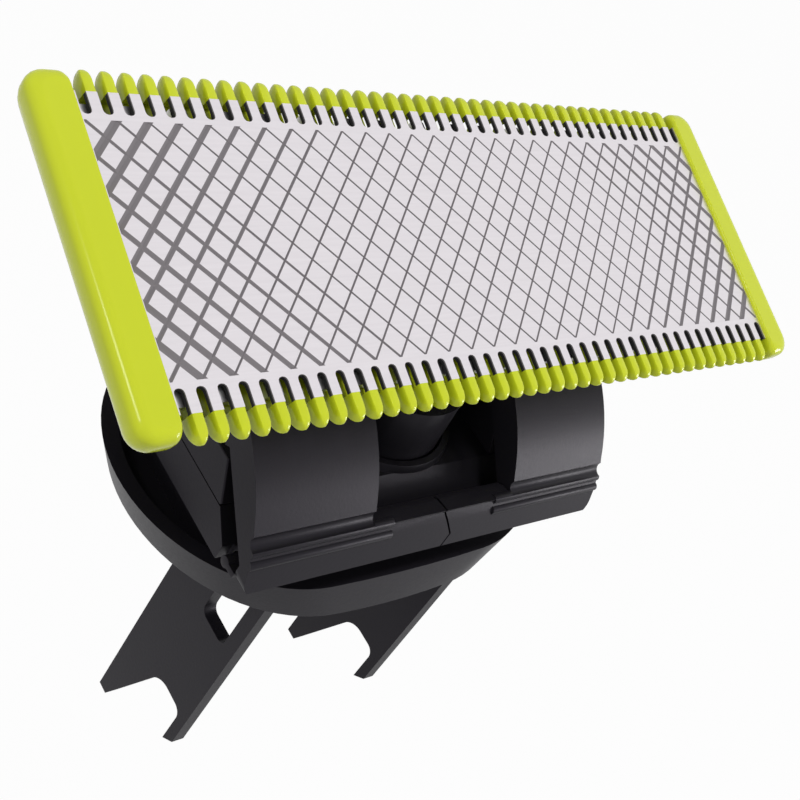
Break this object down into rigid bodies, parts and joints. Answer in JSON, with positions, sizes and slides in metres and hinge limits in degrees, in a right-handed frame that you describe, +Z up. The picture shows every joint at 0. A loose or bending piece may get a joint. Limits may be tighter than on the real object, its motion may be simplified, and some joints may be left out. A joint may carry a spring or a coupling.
{
  "type": "electric shaver blade",
  "caption": "Clip-on trimmer blade for a powered shaver: toothed lime guard with a latticed steel face, sliding cutter, tilting four-link neck and a black base cup with two clip legs.",
  "frame": {"origin": "the point where the drive tube's axis meets the base cup's flat underside", "axes": "+X along the row of teeth, +Z up along the handle's axis towards the blade, -Y to the front, the way the blade's face leans"},
  "size_m": [0.0334, 0.014, 0.0298],
  "materials": {
    "face_steel": "bright rolled steel with a darker engraved lattice",
    "cutter_steel": "ground steel",
    "lime_plastic": "glossy moulded lime green",
    "black_plastic": "satin moulded black"
  },
  "bodies": {
    "base": {"base_cup": "black_plastic", "base_link": "black_plastic", "stop_block_left": "black_plastic", "stop_block_right": "black_plastic"},
    "front_arms": {"front_arm_left": "black_plastic", "front_arm_right": "black_plastic"},
    "rear_arms": {"rear_arm_left": "black_plastic", "rear_arm_right": "black_plastic"},
    "head": {"guard_plate": "face_steel", "guard_frame": "lime_plastic", "blade_carrier": "black_plastic"},
    "cutter_set": {"cutter": "cutter_steel", "drive_bridge": "black_plastic"}
  },
  "joints": [
    {"name": "front_arm_hinge", "type": "hinge", "parent": "base", "child": "front_arms", "pos_m": [0, -0.0049, 0.00365], "axis": [1, 0, 0], "range_deg": [0, 13.37]},
    {"name": "rear_arm_hinge", "type": "hinge", "parent": "base", "child": "rear_arms", "pos_m": [0, 0.0049, 0.00365], "axis": [1, 0, 0], "range_deg": [0, 13.37]},
    {"name": "head_tilt", "type": "hinge", "parent": "front_arms", "child": "head", "pos_m": [0, -0.00035, 0.01122], "axis": [1, 0, 0], "range_deg": [-49.96, 0]},
    {"name": "cutter_slide", "type": "slide", "parent": "head", "child": "cutter_set", "axis": [1, 0, 0], "range_m": [-0.0006, 0.0006]}
  ],
  "couplings": [
    {"joint": "front_arm_hinge", "follows": "head_tilt", "ratio": -0.26747},
    {"joint": "rear_arm_hinge", "follows": "head_tilt", "ratio": -0.26747}
  ]
}
